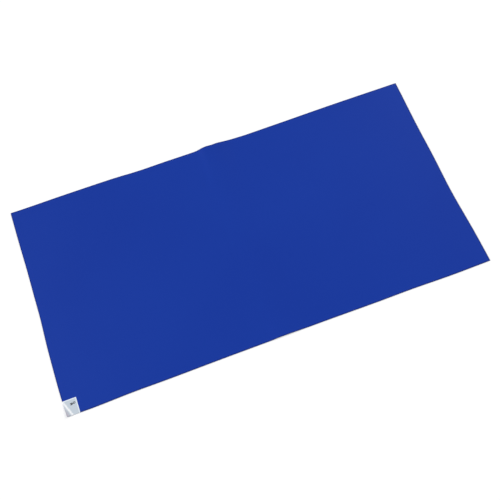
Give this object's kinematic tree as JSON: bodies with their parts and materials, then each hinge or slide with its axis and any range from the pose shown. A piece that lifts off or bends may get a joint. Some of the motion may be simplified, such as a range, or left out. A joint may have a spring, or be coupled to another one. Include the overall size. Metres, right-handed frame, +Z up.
{
  "type": "cleanroom sticky mat",
  "caption": "Adhesive floor mat for a cleanroom door: a flat stack of thin blue peel-off film sheets on a release film, with a numbered white tab at one corner of each sheet.",
  "frame": {"origin": "middle of the mat's underside, on the floor", "axes": "+X along the mat's long side, +Y along its short side, +Z up. The corner with the tabs is at -X and -Y"},
  "size_m": [0.9, 0.45, 0.0051],
  "materials": {
    "sheet_film": "satin",
    "release_film": "satin",
    "tab_film": "satin"
  },
  "bodies": {
    "root": {"floor_film": "release_film", "sheet_01": "sheet_film", "sheet_02": "sheet_film", "sheet_03": "sheet_film", "sheet_04": "sheet_film", "sheet_05": "sheet_film", "sheet_06": "sheet_film", "sheet_07": "sheet_film", "sheet_08": "sheet_film", "sheet_09": "sheet_film", "sheet_10": "sheet_film", "sheet_11": "sheet_film", "sheet_12": "sheet_film", "sheet_13": "sheet_film", "sheet_14": "sheet_film", "sheet_15": "sheet_film", "sheet_16": "sheet_film", "sheet_17": "sheet_film", "sheet_18": "sheet_film", "sheet_19": "sheet_film", "sheet_20": "sheet_film", "sheet_21": "sheet_film", "sheet_22": "sheet_film", "sheet_23": "sheet_film", "sheet_24": "sheet_film", "sheet_25": "sheet_film", "sheet_26": "sheet_film", "sheet_27": "sheet_film", "sheet_28": "sheet_film", "sheet_29": "sheet_film", "sheet_30": "sheet_film", "number_tab_30": "tab_film", "lower_tabs": "tab_film"}
  },
  "joints": []
}
